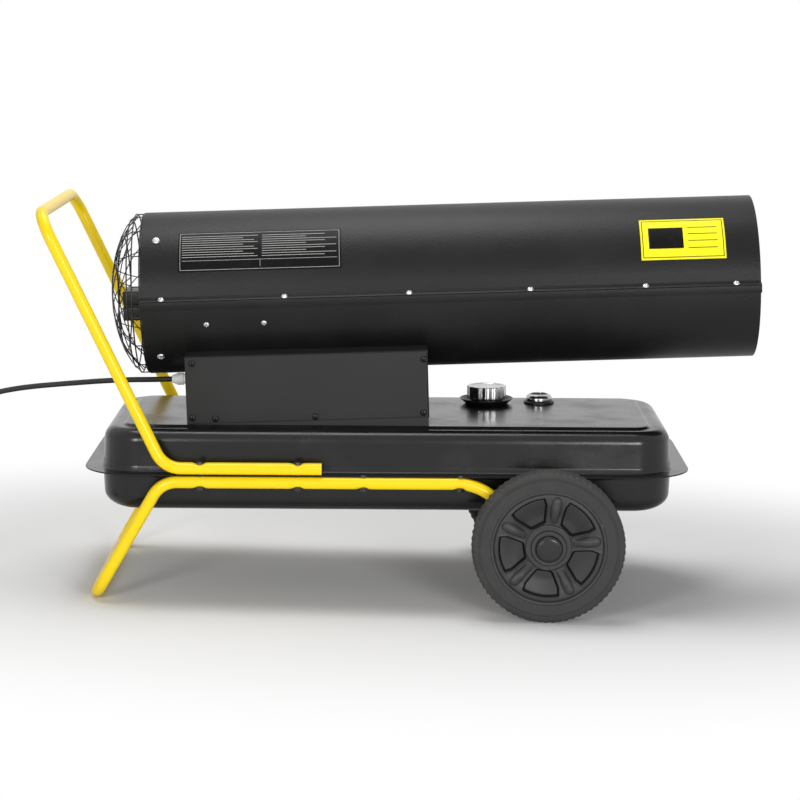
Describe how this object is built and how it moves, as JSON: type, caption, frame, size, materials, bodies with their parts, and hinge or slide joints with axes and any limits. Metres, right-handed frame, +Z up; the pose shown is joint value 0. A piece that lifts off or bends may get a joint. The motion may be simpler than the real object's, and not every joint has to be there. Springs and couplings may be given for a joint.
{
  "type": "forced air heater",
  "caption": "Fuel-fired forced air heater: a barrel with a wire inlet guard over a pressed fuel tank, on a tube cart with wheels, floor legs and a handle.",
  "frame": {"origin": "on the floor, below the middle of the cart's and barrel's outer box without the cord", "axes": "+X along the barrel towards the warm air outlet, +Y to the side with the controls, +Z up"},
  "size_m": [1.5164, 0.5676, 0.6842],
  "materials": {
    "barrel_paint": "fine texture",
    "tank_paint": "satin",
    "box_paint": "matte",
    "frame_paint": "gloss",
    "black_plastic": "matte",
    "wheel_plastic": "matte",
    "tyre_rubber": "matte",
    "guard_wire": "satin",
    "chrome": "polished",
    "zinc": "bright zinc",
    "dark_zinc": "dark zinc",
    "steel": "turned",
    "heat_steel": "heat tinted",
    "aluminium": "cast",
    "brass": "turned",
    "ceramic": "glazed",
    "window": "clear",
    "red": "gloss",
    "light_grey_plastic": "matte",
    "board": "lacquered",
    "rubber": "matte"
  },
  "bodies": {
    "heater": {"barrel_upper_shell": "barrel_paint", "barrel_lower_shell": "barrel_paint", "tank_upper_shell": "tank_paint", "tank_lower_shell": "tank_paint", "box_chassis": "box_paint", "box_cover_near": "box_paint", "control_panel_far": "box_paint", "box_rail": "box_paint", "motor_bracket": "box_paint", "handle_frame": "frame_paint", "leg_frame": "frame_paint", "filler_neck": "black_plastic", "gauge_body": "black_plastic", "filter_cover": "black_plastic", "hub_cap_near": "black_plastic", "hub_cap_far": "black_plastic", "switch_housing": "black_plastic", "ignition_transformer": "black_plastic", "inlet_guard": "guard_wire", "gauge_bezel": "chrome", "axle": "zinc", "drain_plug": "zinc", "frame_bolt_near_1": "dark_zinc", "frame_bolt_near_2": "dark_zinc", "frame_bolt_near_3": "dark_zinc", "frame_bolt_near_4": "dark_zinc", "frame_bolt_far_1": "dark_zinc", "frame_bolt_far_2": "dark_zinc", "frame_bolt_far_3": "dark_zinc", "frame_bolt_far_4": "dark_zinc", "thermostat": "dark_zinc", "filler_strainer": "steel", "combustion_chamber": "heat_steel", "burner_head": "heat_steel", "outlet_diffuser": "heat_steel", "motor": "aluminium", "pump_housing": "aluminium", "fuel_nozzle": "brass", "suction_pipe": "brass", "spark_plug": "ceramic", "gauge_lens": "window", "cord_gland": "light_grey_plastic", "control_board": "board", "fuel_hose": "rubber", "air_hose": "rubber", "power_cord": "rubber", "power_cord_coil": "rubber", "cord_plug": "rubber"},
    "wheel_near": {"wheel_near": "wheel_plastic", "tyre_near": "tyre_rubber"},
    "wheel_far": {"wheel_far": "wheel_plastic", "tyre_far": "tyre_rubber"},
    "fan": {"fan": "aluminium", "motor_shaft": "steel"},
    "fuel_cap": {"fuel_cap": "chrome"},
    "float_arm": {"float_arm": "black_plastic"},
    "gauge_pointer": {"gauge_pointer": "red"},
    "power_rocker": {"power_rocker": "red"},
    "thermostat_knob": {"thermostat_knob": "black_plastic"},
    "reset_button": {"reset_button": "red"}
  },
  "joints": [
    {"name": "wheel_near_spin", "type": "hinge", "parent": "heater", "child": "wheel_near", "pos_m": [0.2495, -0.251, 0.125], "axis": [0, 1, 0], "continuous": true},
    {"name": "wheel_far_spin", "type": "hinge", "parent": "heater", "child": "wheel_far", "pos_m": [0.2495, 0.251, 0.125], "axis": [0, 1, 0], "continuous": true},
    {"name": "fan_spin", "type": "hinge", "parent": "heater", "child": "fan", "pos_m": [-0.21967, 0, 0.50021], "axis": [0.9982, 0, 0.0593], "continuous": true},
    {"name": "fuel_cap_turn", "type": "hinge", "parent": "heater", "child": "fuel_cap", "pos_m": [0.15375, 0.09, 0.30103], "axis": [-0.0236, 0, 0.9997], "range_deg": [0, 90]},
    {"name": "float_arm_swing", "type": "hinge", "parent": "heater", "child": "float_arm", "pos_m": [0.24731, 0.098, 0.23582], "axis": [0.9997, 0, 0.0236], "range_deg": [-32, 32]},
    {"name": "gauge_pointer_turn", "type": "hinge", "parent": "heater", "child": "gauge_pointer", "pos_m": [0.24572, 0.098, 0.3032], "axis": [-0.0236, 0, 0.9997], "range_deg": [-40, 40]},
    {"name": "power_rocker_tilt", "type": "hinge", "parent": "heater", "child": "power_rocker", "pos_m": [-0.28253, 0.1453, 0.34421], "axis": [-0.0593, 0, 0.9982], "range_deg": [0, 14]},
    {"name": "thermostat_knob_turn", "type": "hinge", "parent": "heater", "child": "thermostat_knob", "pos_m": [-0.17272, 0.1483, 0.35073], "axis": [0, -1, 0], "range_deg": [0, 270]},
    {"name": "reset_button_press", "type": "slide", "parent": "heater", "child": "reset_button", "axis": [0, -1, 0], "range_m": [0, 0.0015], "stiffness_N_per_m": 300}
  ],
  "couplings": [
    {"joint": "gauge_pointer_turn", "follows": "float_arm_swing", "ratio": 1.25}
  ]
}
